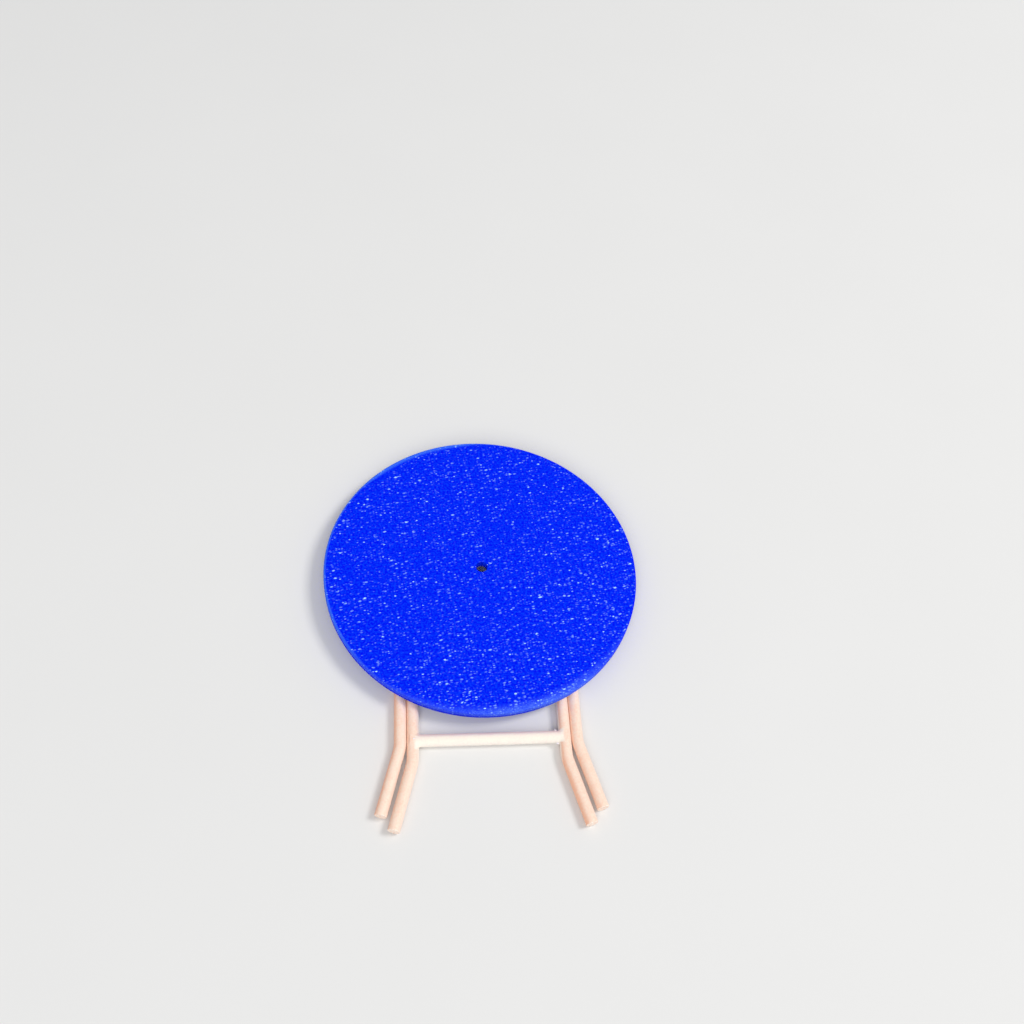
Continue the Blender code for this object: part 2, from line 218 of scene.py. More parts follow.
class Graph:
    """The node graph of one material, written as expressions on its sockets."""

    def __init__(self, name, specular=0.5, roughness=0.5, metallic=0.0):
        self.material = bpy.data.materials.new(name)
        self.material.use_nodes = True
        self.tree = self.material.node_tree
        self.shader = self.tree.nodes["Principled BSDF"]
        self.set("Roughness", roughness)
        self.set("Specular IOR Level", specular)
        self.set("Metallic", metallic)

    def put(self, socket, value):
        """Link a socket to another one, or give it a plain value."""
        if isinstance(value, bpy.types.NodeSocket):
            self.tree.links.new(value, socket)
        else:
            socket.default_value = value

    def set(self, socket_name, value):
        self.put(self.shader.inputs[socket_name], value)

    def node(self, kind, settings=None, **inputs):
        """A new node with its settings, and with links or values on its inputs."""
        made = self.tree.nodes.new(kind)
        for key, value in (settings or {}).items():
            setattr(made, key, value)
        for name, value in inputs.items():
            self.put(made.inputs[name], value)
        return made

    def math(self, operation, *values, kind="ShaderNodeMath"):
        """One operation on numbers, or on vectors where kind is the vector node."""
        made = self.node(kind, {"operation": operation})
        for socket, value in zip(made.inputs, values):
            self.put(socket, value)
        return made.outputs[0]

    def plus(self, *values):
        return reduce(partial(self.math, "ADD"), values)

    def times(self, *values):
        return reduce(partial(self.math, "MULTIPLY"), values)

    def minus(self, first, second):
        return self.math("SUBTRACT", first, second)

    def place(self, centre=(0, 0, 0), scale=(1, 1, 1), turn=0.0):
        """Object coordinates in millimetres from a centre, turned about Z and then scaled."""
        coordinates = self.node("ShaderNodeTexCoord").outputs["Object"]
        moved = self.node("ShaderNodeMapping", Vector=coordinates, Scale=(MILLIMETRES,) * 3,
                          Location=[-value * MILLIMETRES for value in centre])
        turned = self.node("ShaderNodeMapping", Vector=moved.outputs[0], Rotation=(0, 0, turn))
        return self.math("MULTIPLY", turned.outputs[0], scale, kind="ShaderNodeVectorMath")

    def split(self, vector):
        return self.node("ShaderNodeSeparateXYZ", Vector=vector).outputs[:]

    def join(self, x, y):
        return self.node("ShaderNodeCombineXYZ", X=x, Y=y).outputs[0]

    def noise(self, vector, size, detail=2.0, rough=0.5):
        """Noise whose blotches are about one size across, in millimetres."""
        return self.node("ShaderNodeTexNoise", Vector=vector, Scale=1 / size, Detail=detail,
                         Roughness=rough).outputs[0]

    def jumble(self, vector, size, amount):
        """Push a vector about by a noise, by up to half an amount in millimetres."""
        noise = self.node("ShaderNodeTexNoise", Vector=vector, Scale=1 / size, Detail=1.0)
        shift = self.node("ShaderNodeMapping", Vector=noise.outputs[1], Scale=(amount,) * 3,
                          Location=(-amount / 2,) * 3)
        return self.math("ADD", vector, shift.outputs[0], kind="ShaderNodeVectorMath")

    def specks(self, vector, size, mean, wide=0.52):
        """Round specks over a flat (x, y) pattern, one in each cell, most faint and a few bright."""
        cells = self.node("ShaderNodeTexVoronoi", {"voronoi_dimensions": "2D"}, Vector=vector,
                          Scale=1 / size)
        chance = self.node("ShaderNodeSeparateColor", Color=cells.outputs["Color"]).outputs[0]
        rare = self.math("LOGARITHM", self.minus(1.0, chance), math.e)
        bright = self.math("POWER", self.times(rare, -mean), 2.0)
        return self.times(self.ramp(cells.outputs["Distance"], wide, 0.10), bright)

    def ramp(self, value, low, high, to_low=0.0, to_high=1.0):
        """Map a value from low..high to to_low..to_high along a smooth step, clamped."""
        made = self.node("ShaderNodeMapRange", {"interpolation_type": "SMOOTHSTEP"})
        for socket, number in zip(made.inputs, (value, low, high, to_low, to_high)):
            self.put(socket, number)
        return made.outputs[0]

    def blend(self, factor, first, second):
        """Mix two colours."""
        made = self.node("ShaderNodeMix", {"data_type": "RGBA"})
        self.put(made.inputs[0], factor)
        for socket, colour in zip(made.inputs[6:8], (first, second)):
            self.put(socket, (*colour, 1.0) if isinstance(colour, tuple) else colour)
        return made.outputs[2]

    def ridges(self, along, spacing):
        """Round backs and sharp dips along a distance in millimetres, one to a spacing in metres."""
        return self.math("ABSOLUTE", self.math("SINE", self.times(along, math.pi / (spacing * MILLIMETRES))))

    def distance(self, x, y):
        return self.math("SQRT", self.plus(self.times(x, x), self.times(y, y)))

    def toward(self, x, y, out, side):
        """How far a place lies towards one side of the top, divided by out."""
        along = self.plus(self.times(x, math.cos(side)), self.times(y, math.sin(side)))
        return self.math("DIVIDE", along, out)

    def bump(self, height, depth):
        """Relief of a given depth in metres."""
        self.set("Normal", self.node("ShaderNodeBump", Height=height, Distance=depth).outputs["Normal"])


def highlight_band_share(graph, x, y, out, least):
    """How strong the painted hazy highlight on the top's edge is on each side, with none of it on the far
    half.
    """
    highlight_band = graph.ramp(graph.toward(x, y, out, HAZE_HIGHLIGHT_SIDE), 0.88, 0.99, least, 1.0)
    near = graph.ramp(graph.toward(x, y, out, NEAR_SIDE), 0.35, 0.75)
    return graph.times(highlight_band, near)


def lip_highlight_share(graph, x, y, out):
    """How strong the painted highlight on the top's upper lip is on each side."""
    return graph.ramp(graph.toward(x, y, out, LIP_HIGHLIGHT_SIDE), 0.15, 0.60)


def blue_top():
    """The upper face: a fine pebbled finish with painted glints, a painted hazy highlight towards the edge
    on one side, and a painted highlight on its upper lip.
    """
    graph = Graph("blue_top", specular=0.015)
    centre = (0, DISC_CENTRE_Y, TOP_Z)
    radius = DISC_RADIUS * MILLIMETRES
    place = graph.place(centre)
    x, y, _ = graph.split(place)
    out = graph.distance(x, y)
    inside = graph.minus(radius, out)

    # Painted glints of two sizes, drawn out along one line, in patches and thicker towards one side
    small = graph.jumble(graph.place(centre, (0.67, 1.28, 1.0), turn=-0.14), size=0.5, amount=0.20)
    large = graph.jumble(graph.place(centre, (0.63, 1.28, 1.0), turn=-0.20), size=0.4, amount=0.30)
    painted_glints = graph.plus(graph.specks(small, 0.36, 0.155), graph.specks(large, 0.58, 0.152, 0.46))
    patches = graph.ramp(graph.noise(place, 3.2, 3.0), 0.32, 0.70, 0.70, 1.35)
    thicker = graph.ramp(graph.toward(x, y, radius, DENSE_GLINT_SIDE), 0.1, 0.8, 0.87, 1.26)
    light = graph.minus(graph.times(painted_glints, patches, thicker), FAINTEST_PAINTED_GLINT)
    light = graph.math("MAXIMUM", light, 0.0)

    # A band of painted hazy highlight along the edge, blotched and streaked, which reaches furthest in on
    # the near right side
    reach = graph.ramp(graph.toward(x, y, out, HAZE_HIGHLIGHT_SIDE), 0.55, 1.0, 0.5, 2.0)
    band = graph.ramp(graph.minus(1.0, graph.math("DIVIDE", inside, reach)), 0.0, 1.0)
    blotches = graph.ramp(graph.noise(place, 0.9, 3.0), 0.35, 0.65, 0.60, 1.10)
    highlight_streaks = graph.ramp(graph.noise(place, 0.26, 2.0), 0.38, 0.64, 0.65, 1.25)
    highlight_band = graph.times(band, highlight_band_share(graph, x, y, out, 0.4), blotches, highlight_streaks)
    veil = graph.ramp(graph.noise(place, 0.42, 3.0, 0.65), 0.38, 0.68)
    base = graph.blend(highlight_band, graph.blend(veil, BLUE, BLUE_HAZE), BLUE_HIGHLIGHT_HAZE)

    # The painted highlight on the upper lip, broader on the far side
    width = graph.ramp(graph.toward(x, y, out, WIDE_LIP_HIGHLIGHT_SIDE), 0.88, 0.98, 0.55, 1.25)
    lip = graph.ramp(graph.math("DIVIDE", inside, width), 1.0, 0.4)
    base = graph.blend(graph.times(lip, lip_highlight_share(graph, x, y, out)), base, BLUE_LIP_HIGHLIGHT)

    shown = graph.math("MINIMUM", light, STRONGEST_PAINTED_GLINT)
    graph.set("Base Color", graph.blend(shown, base, BLUE_GLINT_PAINT))
    graph.set("Roughness", graph.ramp(light, 0.0, 0.3, 0.44, 0.28))
    grain = graph.noise(place, 0.12, 2.0)
    graph.bump(graph.plus(graph.times(light, 1.6), graph.times(grain, 0.4)), PEBBLE_DEPTH)
    return graph.material


def blue_rim():
    """The edge of the top: stacked layers, with painted shade in deeper blue low down and a pale painted
    highlight higher up.
    """
    graph = Graph("blue_rim", specular=0.015)
    place = graph.place((0, DISC_CENTRE_Y, UNDERSIDE_Z))
    x, y, z = graph.split(place)
    out = graph.distance(x, y)
    around = graph.times(graph.math("ARCTAN2", y, x), DISC_RADIUS * MILLIMETRES)
    unrolled = graph.join(graph.times(around, 0.7), z)
    glints = graph.specks(unrolled, 0.30, 0.125)
    haze = graph.noise(unrolled, 0.9, 3.0)
    height = graph.ramp(z, 0.15, 1.2)

    # The painted hazy highlight lies high up, and for a short way round takes in the whole height
    whole = graph.ramp(graph.toward(x, y, out, WHOLE_RIM_HIGHLIGHT_SIDE), 0.92, 0.99)
    blotches = graph.ramp(haze, 0.25, 0.70, 0.70, 1.1)
    highlight_streaks = graph.ramp(graph.noise(unrolled, 0.24, 2.0), 0.38, 0.64, 0.68, 1.25)
    highlight_band = graph.times(graph.math("MAXIMUM", height, whole), highlight_band_share(graph, x, y, out, 0.5),
                         blotches, highlight_streaks)
    # Painted shade: deeper blue low down on the rim, under the painted highlight
    base = graph.blend(highlight_band, graph.blend(height, BLUE_LOW_SHADE, BLUE), BLUE_HIGHLIGHT_HAZE)
    # Painted highlight on the upper lip
    lip = graph.times(graph.ramp(z, 0.9, 1.4), lip_highlight_share(graph, x, y, out))
    base = graph.blend(lip, base, BLUE_LIP_HIGHLIGHT)

    # Painted glints on the rim, fewer low down and more in the painted highlight
    share = graph.plus(graph.ramp(height, 0.0, 1.0, 0.25, 1.0), graph.times(highlight_band, 1.3))
    light = graph.math("MINIMUM", graph.times(glints, share), STRONGEST_PAINTED_GLINT)
    graph.set("Base Color", graph.blend(light, base, BLUE_GLINT_PAINT))
    graph.set("Roughness", graph.ramp(haze, 0.2, 0.8, 0.34, 0.48))
    graph.bump(graph.plus(graph.times(glints, 1.2), graph.noise(place, 0.15)), RIM_DEPTH)
    return graph.material


def blue_hollow():
    """The wall of the centre hole, plain and layered, in a deeper blue than the top that paints in shade."""
    graph = Graph("blue_hollow", specular=0.05, roughness=0.48)
    mottle = graph.noise(graph.place((0, DISC_CENTRE_Y, UNDERSIDE_Z)), 0.4, 3.0, 0.6)
    graph.set("Base Color", graph.blend(graph.ramp(mottle, 0.3, 0.7), BLUE_HOLLOW_SHADE, BLUE_HAZE))
    graph.bump(mottle, HOLLOW_DEPTH)
    return graph.material


def blue_underside():
    """The plain printed face under the top: straight laid lines at 45 degrees."""
    graph = Graph("blue_underside", specular=0.15)
    place = graph.place((0, DISC_CENTRE_Y, UNDERSIDE_Z), turn=math.radians(45))
    x, _, _ = graph.split(place)
    sway = graph.times(graph.minus(graph.noise(place, 1.6), 0.5), 0.12)
    lines = graph.ridges(graph.plus(x, sway), LINE_WIDTH)
    mottle = graph.noise(place, 0.5, 4.0, 0.6)
    worn = graph.blend(graph.ramp(mottle, 0.35, 0.75), BLUE, BLUE_HAZE)
    graph.set("Base Color", graph.blend(graph.ramp(lines, 0.0, 0.45), BLUE_SEAM, worn))
    graph.set("Roughness", graph.ramp(mottle, 0.3, 0.7, 0.38, 0.54))
    graph.bump(graph.plus(lines, graph.times(mottle, 0.3)), LAID_LINE_DEPTH)
    return graph.material


def blue_block():
    """The blocks under the top, printed in layers."""
    graph = Graph("blue_block", specular=0.18)
    place = graph.place()
    _, _, z = graph.split(place)
    layers = graph.ridges(z, LAYER_HEIGHT)
    mottle = graph.noise(place, 0.35, 3.0, 0.6)
    worn = graph.blend(graph.ramp(mottle, 0.4, 0.8), BLUE, BLUE_HAZE)
    graph.set("Base Color", graph.blend(graph.ramp(layers, 0.0, 0.5), BLUE_LAYER_SEAM, worn))
    graph.set("Roughness", graph.ramp(mottle, 0.3, 0.7, 0.36, 0.52))
    graph.bump(graph.plus(layers, graph.times(mottle, 0.4)), BLOCK_DEPTH)
    return graph.material


def soft_plastic(name, foot=None, joint=None):
    """Matt skin-toned plastic.

    A leg has painted shade, rosier, on its -X flank and a painted light, cooler tone on its +X flank, and is
    pale and torn where it was cut, at foot.
    The crossbar is painted cream as a highlight, and that painted highlight runs a little way into the leg
    at joint.
    """
    graph = Graph(name, specular=0.35)
    place = graph.place()
    x, y, z = graph.split(place)
    away = graph.math("ABSOLUTE", x)
    facing = graph.split(graph.node("ShaderNodeTexCoord").outputs["Normal"])
    mottle = graph.ramp(graph.noise(place, 0.42, 2.0, 0.6), 0.34, 0.66, -0.04, 0.24)
    cloud = graph.plus(graph.ramp(graph.noise(place, 1.6, 3.0), 0.32, 0.68, -0.08, 0.12), mottle)
    grain = graph.noise(place, 0.16, 3.0, 0.6)
    pale = graph.ramp(grain, 0.58, 0.80, 0.0, 0.25)
    if foot:
        tone = leg_shade_tone(graph, x, facing, cloud, -1.0 if joint else 1.0)
        pale = graph.math("MAXIMUM", pale, torn_end(graph, place, away, y, foot))
    else:
        tone = graph.blend(graph.ramp(cloud, 0.0, 0.14, 0.0, 0.3), PEACH, PEACH_SHADE_AND_MOTTLE)
    if joint:
        tone = graph.blend(bar_highlight_share(graph, x, away, y, joint), tone, bar_highlight_tone(graph, facing, cloud))
    graph.set("Base Color", graph.blend(pale, tone, PEACH_PALE))
    graph.set("Roughness", graph.ramp(grain, 0.3, 0.7, 0.40, 0.54))
    layers = graph.ridges(z, LAYER_HEIGHT)
    graph.bump(graph.plus(graph.times(layers, 0.35), graph.times(grain, 0.8)), SOFT_DEPTH)
    return graph.material


def leg_shade_tone(graph, x, facing, cloud, paired_side):
    """A leg's colour: painted shade, rosy, on its -X flank, less so where the other leg of the pair shelters
    it, and a painted light, cooler tone on its +X flank.
    """
    sheltered = graph.ramp(x, -paired_side, paired_side)
    shaded_flank = graph.times(graph.ramp(facing[0], -0.25, -1.0), graph.ramp(sheltered, 0.0, 1.0, 1.0, 0.35))
    shade_and_mottle = graph.blend(graph.plus(shaded_flank, cloud), PEACH, PEACH_SHADE_AND_MOTTLE)
    return graph.blend(graph.ramp(facing[0], 0.35, 1.0), shade_and_mottle, PEACH_LIT_FLANK)


def torn_end(graph, place, away, y, foot):
    """Pale, torn spots over the last fifth of a millimetre before the cut at a foot."""
    foot_x, foot_y = (value * MILLIMETRES for value in foot)
    sideways = graph.times(graph.minus(away, foot_x), math.sin(FLARE))
    lengthways = graph.times(graph.minus(y, foot_y), math.cos(FLARE))
    before_cut = graph.minus(lengthways, sideways)
    spots = graph.ramp(graph.noise(place, 0.28, 1.0), 0.46, 0.58, 0.0, 0.8)
    return graph.times(graph.ramp(before_cut, 0.20, 0.06), spots)


def bar_highlight_share(graph, x, away, y, joint):
    """Where the crossbar's cream, a painted highlight, shows: on the bar itself, and spilling into the leg
    at a joint.
    """
    joint_x, joint_y = (value * MILLIMETRES for value in joint)
    drift = graph.ramp(x, -1.0, 1.0, 0.6, 0.0)
    off_bar = graph.math("ABSOLUTE", graph.plus(graph.minus(y, joint_y), drift))
    across = graph.ramp(away, joint_x + 0.1, joint_x - 0.6)
    highlight_spill = graph.times(graph.ramp(off_bar, 1.4, 1.0), across)
    return graph.math("MAXIMUM", highlight_spill, graph.ramp(away, joint_x - 0.7, joint_x - 1.1))


def bar_highlight_tone(graph, facing, cloud):
    """The crossbar's colour: cream as a painted highlight, paler still on its near side as painted
    highlight, and pinker on its far side as painted shade.
    """
    cream_highlight = graph.blend(graph.ramp(facing[1], -0.55, -1.0), CREAM_HIGHLIGHT, CREAM_NEAR_HIGHLIGHT)
    return graph.blend(graph.plus(graph.ramp(facing[1], 0.05, 0.70), cloud), cream_highlight, CREAM_FAR_SHADE)


def nub_plastic():
    """Whitened, stressed plastic, which also serves as a painted highlight at the joints."""
    graph = Graph("nub_plastic", specular=0.6, roughness=0.35)
    mottle = graph.noise(graph.place(), 0.10, 2.0)
    graph.set("Base Color", graph.blend(graph.ramp(mottle, 0.35, 0.65), NUB_DULL, NUB_PALE))
    graph.bump(mottle, NUB_DEPTH)
    return graph.material


def drawn_steel():
    """Drawn steel wire and turned pin heads."""
    graph = Graph("drawn_steel", metallic=1.0)
    streaks = graph.noise(graph.place(scale=(0.12, 1.0, 1.0)), 0.07, 3.0, 0.6)
    stain = graph.ramp(graph.noise(graph.place(), 0.9, 3.0), 0.35, 0.7)
    steel = graph.blend(stain, STEEL_DARK, STEEL_LIGHT)
    graph.set("Base Color", graph.blend(graph.ramp(streaks, 0.3, 0.7, 0.0, 0.35), steel, STEEL_STREAK))
    graph.set("Roughness", graph.ramp(streaks, 0.25, 0.75, 0.22, 0.42))
    graph.bump(streaks, STEEL_DEPTH)
    return graph.material


def floor_paint():
    """The pale ground, matt and almost even; far off the camera sees it run into the background."""
    graph = Graph("floor_paint", specular=0.1, roughness=0.9)
    place = graph.place()
    x, y, _ = graph.split(place)
    graph.set("Base Color", graph.blend(graph.noise(place, 40.0, 2.0), FLOOR_LOW, FLOOR_HIGH))
    far = graph.ramp(graph.distance(x, y), *(value * MILLIMETRES for value in FLOOR_FADE))
    seen = graph.node("ShaderNodeLightPath").outputs["Is Camera Ray"]
    background = graph.node("ShaderNodeEmission", Color=(*BACKGROUND, 1.0))
    mix = graph.node("ShaderNodeMixShader")
    graph.put(mix.inputs[0], graph.times(far, seen))
    graph.put(mix.inputs[1], graph.shader.outputs[0])
    graph.put(mix.inputs[2], background.outputs[0])
    graph.put(graph.tree.nodes["Material Output"].inputs["Surface"], mix.outputs[0])
    return graph.material


# Mesh building

def add_object(name, data=None):
    """A new object in the scene; without data it is an empty."""
    thing = bpy.data.objects.new(name, data)
    bpy.context.scene.collection.objects.link(thing)
    return thing


def finish_shading(thing):
    thing.data.shade_smooth()
    thing.data.set_sharp_from_angle(angle=SHARP_ANGLE)


def add_piece(name, bm, materials):
    """Turn a bmesh into a smooth shaded object that stands where its points are."""
    bmesh.ops.recalc_face_normals(bm, faces=bm.faces)
    mesh = bpy.data.meshes.new(name)
    bm.to_mesh(mesh)
    bm.free()
    for material in materials:
        mesh.materials.append(material)
    thing = add_object(name, mesh)
    finish_shading(thing)
    return thing


def arc(centre, radius, start, end, steps):
    """Points on an arc in a plane, by angle."""
    angles = [start + (end - start) * step / steps for step in range(steps + 1)]
    return [(centre[0] + radius * math.cos(a), centre[1] + radius * math.sin(a)) for a in angles]


def circle(sides):
    """Cosine and sine all the way round a circle."""
    return [(math.cos(math.tau * i / sides), math.sin(math.tau * i / sides)) for i in range(sides)]


def bridge(bm, ring, following, slot=0):
    """Faces between two rings of points; a ring of one point is a pole."""
    sides = max(len(ring), len(following))
    for i in range(sides):
        j = (i + 1) % sides
        corners = [ring[i % len(ring)], ring[j % len(ring)],
                   following[j % len(following)], following[i % len(following)]]
        face = bm.faces.new(list(dict.fromkeys(corners)))
        face.material_index = slot


def spin_upright(outline, slots, sides, centre):
    """Spin a closed outline of (distance, height) about a vertical axis; slots has each span's material."""
    bm = bmesh.new()
    rings = []
    for out, height in outline:
        rings.append([bm.verts.new((centre[0] + out * across, centre[1] + out * along, centre[2] + height))
                      for across, along in circle(sides)])
    for ring, following, slot in zip(rings, rings[1:] + rings[:1], slots):
        bridge(bm, ring, following, slot)
    return bm


def spin_across(bm, profile, y, z, sides):
    """Add a closed solid of (distance, x) points spun about a line along X; a zero distance is a pole."""
    rings = []
    for out, x in profile:
        points = circle(sides) if out else [(0.0, 0.0)]
        rings.append([bm.verts.new((x, y + out * along, z + out * up)) for along, up in points])
    for ring, following in zip(rings, rings[1:]):
        bridge(bm, ring, following)
    for ring in (rings[0], rings[-1]):
        if len(ring) > 1:
            bm.faces.new(ring)


def cross_cylinders(x, length, circles, sides, edge=0.0):
    """Solid cylinders along X with rounded edges at the height of the axes, from (y, radius) pairs."""
    bm = bmesh.new()
    start, end = x - length / 2, x + length / 2
    for y, radius in circles:
        profile = [(radius, start), (radius, end)]
        if edge:
            profile = arc((radius - edge, start + edge), edge, -math.pi / 2, 0, BREAK_STEPS)
            profile += arc((radius - edge, end - edge), edge, 0, math.pi / 2, BREAK_STEPS)
        spin_across(bm, profile, y, AXIS_HEIGHT, sides)
    return bm


def boxes(corners):
    """Separate boxes between pairs of corners, in one mesh."""
    bm = bmesh.new()
    for low, high in corners:
        low, high = Vector(low), Vector(high)
        stretch = Matrix.Diagonal((*(high - low), 1))
        bmesh.ops.create_cube(bm, size=1, matrix=Matrix.Translation((low + high) / 2) @ stretch)
    return bm


def apply_cut(thing, operation, bm):
    """Unite a piece with another solid, or cut it away, for good."""
    tool = add_piece("tool", bm, [])
    modifier = thing.modifiers.new("cut", 'BOOLEAN')
    modifier.operation = operation
    modifier.solver = 'EXACT'
    modifier.object = tool
    bpy.context.view_layer.update()
    done = bpy.data.meshes.new_from_object(thing.evaluated_get(bpy.context.evaluated_depsgraph_get()))
    thing.modifiers.clear()
    spare = (thing.data, tool.data)
    done.name = thing.name
    thing.data = done
    bpy.data.objects.remove(tool)
    for mesh in spare:
        bpy.data.meshes.remove(mesh)


# The top

def make_tabletop(materials):
    """The round top: a rim of stacked layers between rounded edges, a centre hole, pockets underneath."""
    top, rim, under, hollow = range(4)
    outline, slots = [], []

    def add(points, slot):
        outline.extend(points)
        slots.extend([slot] * len(points))

    def layers(low, high, wall, slot, sign):
        """Shallow scallops up or down a wall, one to a layer."""
        count = round(abs(high - low) / LAYER_HEIGHT) * LAYER_STEPS
        for index in range(count + 1):
            dip = LAYER_RELIEF * (0.5 + 0.5 * math.cos(math.tau * index / LAYER_STEPS))
            add([(wall - sign * dip, low + (high - low) * index / count)], slot)

    # The outline: underside, lower edge, rim, upper edge, face, edge of the hole and its wall
    hole, lead = CENTRE_HOLE_RADIUS, HOLE_EDGE_BREAK
    low_edge, high_edge = LOWER_EDGE_RADIUS, UPPER_EDGE_RADIUS
    add([(hole, lead), (hole + lead, 0.0), (DISC_RADIUS - low_edge - LINE_WIDTH, 0.0)], under)
    add(arc((DISC_RADIUS - low_edge, low_edge), low_edge, -math.pi / 2, -math.pi / 12,
            LOWER_EDGE_STEPS), rim)
    layers(low_edge, DISC_THICKNESS - high_edge, DISC_RADIUS, rim, 1)
    lip = arc((DISC_RADIUS - high_edge, DISC_THICKNESS - high_edge), high_edge,
              math.pi / 16, math.pi / 2, UPPER_EDGE_STEPS)
    add(lip[:UPPER_EDGE_RIM_POINTS], rim)
    add(lip[UPPER_EDGE_RIM_POINTS:], top)
    flat = DISC_RADIUS - high_edge - LINE_WIDTH
    for index in range(DISC_RINGS):
        out = flat + (hole + LINE_WIDTH - flat) * index / DISC_RINGS
        add([(out, DISC_THICKNESS)], top)
    add(arc((hole + lead, DISC_THICKNESS - lead), lead, math.pi / 2, math.pi, BREAK_STEPS)[:-1], top)
    layers(DISC_THICKNESS - lead, lead, hole, hollow, -1)

    bm = spin_upright(outline, slots, DISC_SIDES, (0, DISC_CENTRE_Y, UNDERSIDE_Z))
    thing = add_piece("tabletop_printed", bm, materials)

    # The pockets in which the blocks are seated
    pockets = []
    clear = SEAT_CLEARANCE
    for node in SEATED_BLOCKS:
        low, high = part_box(node)
        pockets.append(((low.x - clear, low.y - clear, UNDERSIDE_Z - CUT_OVERRUN),
                        (high.x + clear, high.y + clear, UNDERSIDE_Z + POCKET_DEPTH)))
    apply_cut(thing, 'DIFFERENCE', boxes(pockets))
    finish_shading(thing)
    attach(thing, "top")
    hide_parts("tabletop")
    return thing


# The legs

def leg_stations(top_y, foot_y):
    """Places down the middle of a leg, from its top to its foot, each as (sideways, y, turn, radius)."""
    tangent = BEND_RADIUS * math.tan(FLARE / 2)
    bend_y = foot_y + FLARED_REACH
    straight = top_y - (bend_y + tangent)
    stations = []
    for step in range(LEG_STRAIGHT_STEPS):
        stations.append((0, top_y - straight * step / LEG_STRAIGHT_STEPS, 0, ROD_RADIUS))
    for step in range(LEG_BEND_STEPS + 1):
        turn = FLARE * step / LEG_BEND_STEPS
        stations.append((BEND_RADIUS * (1 - math.cos(turn)),
                         bend_y + tangent - BEND_RADIUS * math.sin(turn), turn, ROD_RADIUS))
    foot = Vector((FOOT_OUTWARD, foot_y))
    down = Vector((math.sin(FLARE), -math.cos(FLARE)))
    last = Vector(stations[-1][:2])
    flared = (foot - last).length - FOOT_ROUND
    for step in range(1, LEG_FLARED_STEPS + 1):
        spot = last + down * flared * step / LEG_FLARED_STEPS
        stations.append((*spot, FLARE, ROD_RADIUS))
    for step in range(1, FOOT_STEPS + 1):
        angle = math.pi / 2 * step / FOOT_STEPS
        spot = foot - down * FOOT_ROUND * (1 - math.sin(angle))
        stations.append((*spot, FLARE, ROD_RADIUS - FOOT_ROUND * (1 - math.cos(angle))))
    cut_face = foot + down * BURR_HEIGHT * 0.3
    stations.append((*cut_face, FLARE, ROD_RADIUS - 2.2 * FOOT_ROUND))
    return stations


def make_leg(name, body, x, neighbour, top_y, foot_y, bores, material):
    """One leg: a bent rod with a softened foot, an eye at its top and one where the frames cross.

    Below the crossing the flank towards its neighbour is a little fuller, as the pairs lie close.
    bores gives the radii of the bores in the two eyes.
    """
    side = math.copysign(1, x)
    fuller_from, fuller_by = PIVOT_Y - 2 * EYE_RADIUS, PIVOT_Y - 5 * EYE_RADIUS
    bm = bmesh.new()
    rings = []
    for across, along, turn, radius in leg_stations(top_y, foot_y):
        place = (Matrix.Translation((x + side * across, along, AXIS_HEIGHT))
                 @ Matrix.Rotation(side * turn, 4, 'Z') @ Matrix.Rotation(math.pi / 2, 4, 'X'))
        share = min(max((fuller_from - along) / (fuller_from - fuller_by), 0.0), 1.0)
        ring = []
        for i in range(LEG_SIDES):
            angle = math.tau * (i + 0.5) / LEG_SIDES
            toward = max(neighbour * math.cos(angle), 0.0)
            swell = neighbour * FLANK_SWELL * share * toward ** 2
            spot = Vector((radius * math.cos(angle) + swell, radius * math.sin(angle), 0))
            ring.append(bm.verts.new(place @ spot))
        rings.append(ring)

    # Burrs of uneven height round the edge of the cut
    down = Vector((side * math.sin(FLARE), -math.cos(FLARE), 0))
    for ring in rings[-3:-1]:
        for i, point in enumerate(ring):
            burr = math.sin(2.3 * i + x * MILLIMETRES) * math.sin(0.9 * i + foot_y * MILLIMETRES)
            point.co += down * BURR_HEIGHT * max(0.0, burr)

    for ring, following in zip(rings, rings[1:]):
        bridge(bm, ring, following)
    bm.faces.new(rings[0])
    bm.faces.new(rings[-1])
    thing = add_piece(name, bm, [material])
    places = (top_y, PIVOT_Y)
    eyes = [(y, EYE_RADIUS) for y in places]
    apply_cut(thing, 'UNION', cross_cylinders(x, EYE_WIDTH, eyes, EYE_SIDES, EYE_EDGE))
    cut_length = EYE_WIDTH + 2 * CUT_OVERRUN
    apply_cut(thing, 'DIFFERENCE', cross_cylinders(x, cut_length, zip(places, bores), BORE_SIDES))
    finish_shading(thing)
    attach(thing, body)
    return thing


